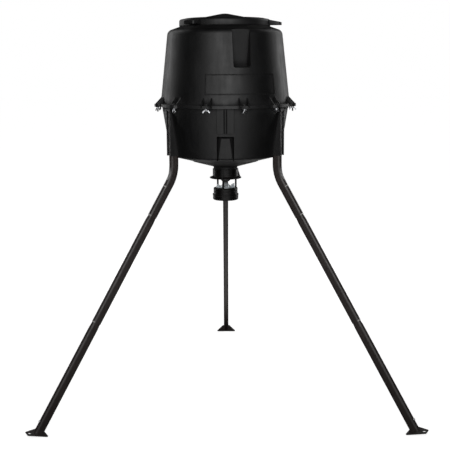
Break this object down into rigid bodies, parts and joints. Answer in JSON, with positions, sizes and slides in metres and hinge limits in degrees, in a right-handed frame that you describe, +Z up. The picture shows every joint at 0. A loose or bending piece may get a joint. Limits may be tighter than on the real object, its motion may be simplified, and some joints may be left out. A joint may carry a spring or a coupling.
{
  "type": "spin cast feeder",
  "caption": "Black hopper feeder on three jointed legs, with a twist-on lid and a feeder kit that spins feed out under the spout.",
  "frame": {"origin": "on the ground, under the centre of the three feet's bounding box; the hopper's axis stands at y = -0.2273 m", "axes": "+Z up the hopper; +Y towards the single back leg, so the two front legs stand at -Y, left and right"},
  "size_m": [1.6452, 1.4264, 1.69],
  "materials": {
    "hopper_plastic": "black moulded polyethylene, fine satin texture",
    "lid_plastic": "black moulded plastic, semi-gloss",
    "leg_coating": "dark brown-black powder coat, satin",
    "zinc_hardware": "bright zinc plate",
    "seal_rubber": "matte rubber",
    "kit_plastic": "black moulded plastic, satin",
    "post_coating": "black coated steel rod",
    "bolt_coating": "black coated steel bolt",
    "spinner_zinc": "bright blue-white zinc plate",
    "motor_case": "plated steel can",
    "circuit_board": "green circuit board",
    "clear_window": "clear plastic",
    "button_plastic": "grey rubbery plastic",
    "cell_jacket": "plain printed cell jacket",
    "contact_spring": "nickel plated spring steel"
  },
  "bodies": {
    "stand": {"upper_hopper": "hopper_plastic", "lower_hopper": "hopper_plastic", "flange_bolts": "bolt_coating", "flange_washers": "zinc_hardware", "flange_wing_nuts": "zinc_hardware", "foot_screws": "zinc_hardware", "upper_leg_back": "leg_coating", "upper_leg_left": "leg_coating", "upper_leg_right": "leg_coating", "middle_leg_back": "leg_coating", "middle_leg_left": "leg_coating", "middle_leg_right": "leg_coating", "lower_leg_back": "leg_coating", "lower_leg_left": "leg_coating", "lower_leg_right": "leg_coating", "foot_back": "leg_coating", "foot_left": "leg_coating", "foot_right": "leg_coating"},
    "lid_gasket": {"lid_gasket": "seal_rubber"},
    "lid": {"lid": "lid_plastic"},
    "feeder_kit": {"kit_adapter": "kit_plastic", "kit_posts": "post_coating", "timer_housing": "kit_plastic", "motor": "motor_case", "motor_screws": "zinc_hardware", "cap_seal": "seal_rubber", "timer_face": "kit_plastic", "display_window": "clear_window", "timer_board": "circuit_board", "face_screws": "zinc_hardware", "battery_holder": "kit_plastic", "batteries": "cell_jacket", "battery_contacts": "contact_spring"},
    "spinner": {"spinner_shaft": "zinc_hardware", "spinner_plate": "spinner_zinc", "spinner_hub": "spinner_zinc", "spinner_set_screw": "zinc_hardware"},
    "cap": {"kit_cap": "kit_plastic"},
    "set_button": {"set_button": "button_plastic"},
    "up_button": {"up_button": "button_plastic"},
    "down_button": {"down_button": "button_plastic"}
  },
  "joints": [
    {"name": "lid_lift", "type": "slide", "parent": "stand", "child": "lid_gasket", "axis": [0, 0, 1], "range_m": [0, 0.25]},
    {"name": "lid_turn", "type": "hinge", "parent": "lid_gasket", "child": "lid", "pos_m": [0, -0.22727, 1.655], "axis": [0, 0, 1], "range_deg": [0, 22]},
    {"name": "kit_turn", "type": "hinge", "parent": "stand", "child": "feeder_kit", "pos_m": [0, -0.22727, 1.01], "axis": [0, 0, 1], "range_deg": [-17, 0]},
    {"name": "spinner_spin", "type": "hinge", "parent": "feeder_kit", "child": "spinner", "pos_m": [0, -0.22727, 0.95], "axis": [0, 0, 1], "continuous": true},
    {"name": "cap_pull", "type": "slide", "parent": "feeder_kit", "child": "cap", "axis": [0, 0, -1], "range_m": [0, 0.05]},
    {"name": "set_press", "type": "slide", "parent": "feeder_kit", "child": "set_button", "axis": [0, 0, 1], "range_m": [0, 0.0008], "stiffness_N_per_m": 500, "springref_m": -0.0003},
    {"name": "up_press", "type": "slide", "parent": "feeder_kit", "child": "up_button", "axis": [0, 0, 1], "range_m": [0, 0.0008], "stiffness_N_per_m": 500, "springref_m": -0.0003},
    {"name": "down_press", "type": "slide", "parent": "feeder_kit", "child": "down_button", "axis": [0, 0, 1], "range_m": [0, 0.0008], "stiffness_N_per_m": 500, "springref_m": -0.0003}
  ]
}
